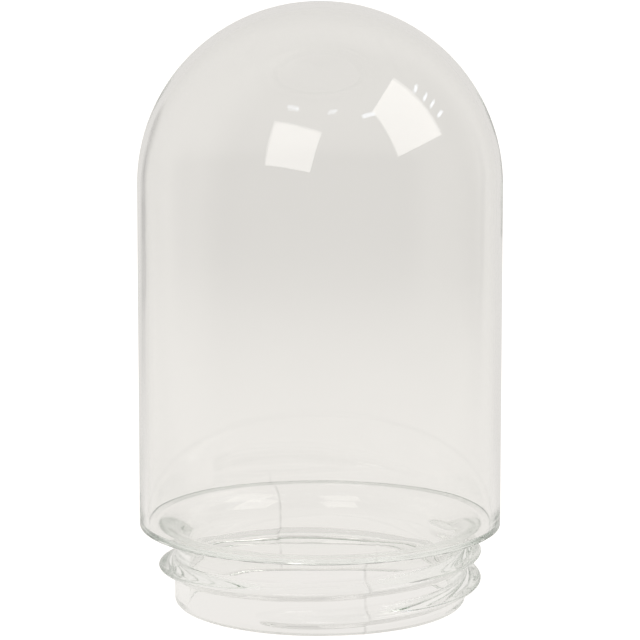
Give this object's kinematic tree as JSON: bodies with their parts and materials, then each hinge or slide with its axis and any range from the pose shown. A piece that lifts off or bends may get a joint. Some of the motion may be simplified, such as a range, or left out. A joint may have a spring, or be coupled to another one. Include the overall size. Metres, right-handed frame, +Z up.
{
  "type": "screw-in glass dome",
  "caption": "Clear glass dome, closed and round-topped, with a rounded glass thread round its open neck and a gasket seat under its shoulder.",
  "frame": {"origin": "centre of the rim, on the plane the dome stands on", "axes": "+Z up along the dome's axis, from the rim to the apex; the thread starts left of -Y and is right-handed"},
  "size_m": [0.0944, 0.0944, 0.1577],
  "materials": {
    "clear_glass": "smooth, fire-polished, faintly green at the edges"
  },
  "bodies": {
    "root": {"glass_dome": "clear_glass"}
  },
  "joints": []
}
